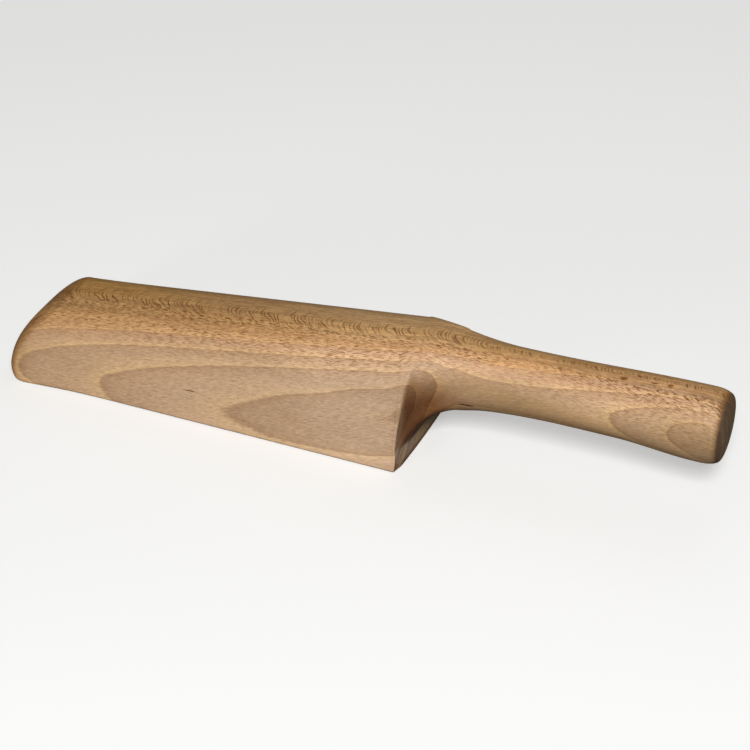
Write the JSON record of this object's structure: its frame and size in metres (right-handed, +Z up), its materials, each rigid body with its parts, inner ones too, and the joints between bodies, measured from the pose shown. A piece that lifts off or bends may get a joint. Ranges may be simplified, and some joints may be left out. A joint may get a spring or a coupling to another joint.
{
  "type": "wooden sheet-metal dressing beater",
  "caption": "Solid beech hand beater: long flat sole, sides leaning in to a rounded back that falls to a swept toe, square heel, and a round handle carved from the same billet.",
  "frame": {"origin": "on the plane of the sole, under the middle of the overall length and width", "axes": "+X from the toe of the head to the butt of the handle, +Z up from the sole to the back, +Y across the width"},
  "size_m": [0.36, 0.0768, 0.0584],
  "materials": {
    "beech": "sanded beech with a thin satin oil finish, bare sawn end grain at heel and butt"
  },
  "bodies": {
    "root": {"beater": "beech"}
  },
  "joints": []
}
